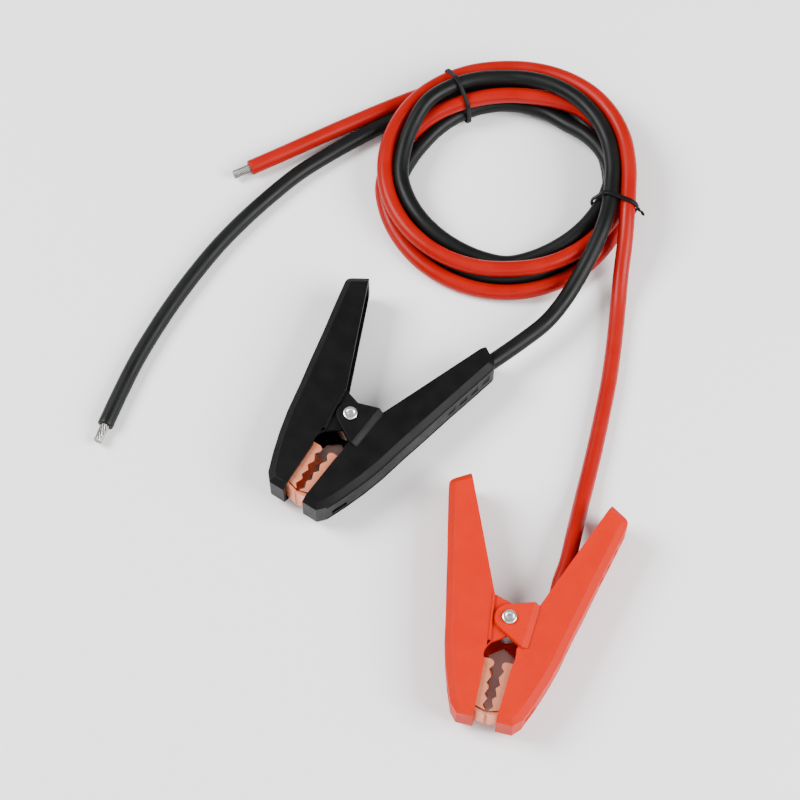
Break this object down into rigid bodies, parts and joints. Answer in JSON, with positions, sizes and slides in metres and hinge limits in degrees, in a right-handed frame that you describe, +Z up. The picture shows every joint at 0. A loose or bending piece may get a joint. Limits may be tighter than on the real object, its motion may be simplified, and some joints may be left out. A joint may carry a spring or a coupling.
{
  "type": "battery clamp cable",
  "caption": "Black and red battery cables with a bare tinned end on one side and an insulated sprung alligator clamp on the other, coiled together and tied.",
  "frame": {"origin": "on the floor, at the middle of the box around the two clamps, cables left out", "axes": "+Z up off the floor the set lies on; +Y along the clamps' longer extent, from the clamp noses towards the coil; +X to the right as seen from the noses"},
  "size_m": [0.2771, 0.3642, 0.028],
  "materials": {
    "black_plastic": "moulded black insulation, fine texture",
    "red_plastic": "moulded orange-red insulation, satin",
    "black_jacket": "soft black cable jacket",
    "red_jacket": "soft red cable jacket",
    "copper": "copper-plated sheet, satin",
    "rivet_steel": "bright plated rivet",
    "spring_steel": "drawn spring wire",
    "tinned_wire": "tinned strands",
    "tie_plastic": "black coated tie"
  },
  "bodies": {
    "cables_and_cable_sides": {"black_cable_lever": "black_plastic", "black_cable_jaw": "copper", "black_rivet": "rivet_steel", "black_spring": "spring_steel", "black_cable": "black_jacket", "black_tinned_end": "tinned_wire", "red_cable_lever": "red_plastic", "red_cable_jaw": "copper", "red_rivet": "rivet_steel", "red_spring": "spring_steel", "red_cable": "red_jacket", "red_tinned_end": "tinned_wire", "upper_tie": "tie_plastic", "right_tie": "tie_plastic"},
    "black_free_side": {"black_free_lever": "black_plastic", "black_free_jaw": "copper"},
    "red_free_side": {"red_free_lever": "red_plastic", "red_free_jaw": "copper"}
  },
  "joints": [
    {"name": "black_clamp_hinge", "type": "hinge", "parent": "cables_and_cable_sides", "child": "black_free_side", "pos_m": [-0.04667, 0.03979, 0.0129], "axis": [0, 0, -1], "range_deg": [0, 35], "stiffness_Nm_per_rad": 1.5, "springref_deg": -34.38, "deforming": ["black_spring"]},
    {"name": "red_clamp_hinge", "type": "hinge", "parent": "cables_and_cable_sides", "child": "red_free_side", "pos_m": [0.02853, -0.06471, 0.0129], "axis": [0, 0, -1], "range_deg": [0, 35], "stiffness_Nm_per_rad": 1.5, "springref_deg": -34.38, "deforming": ["red_spring"]}
  ]
}
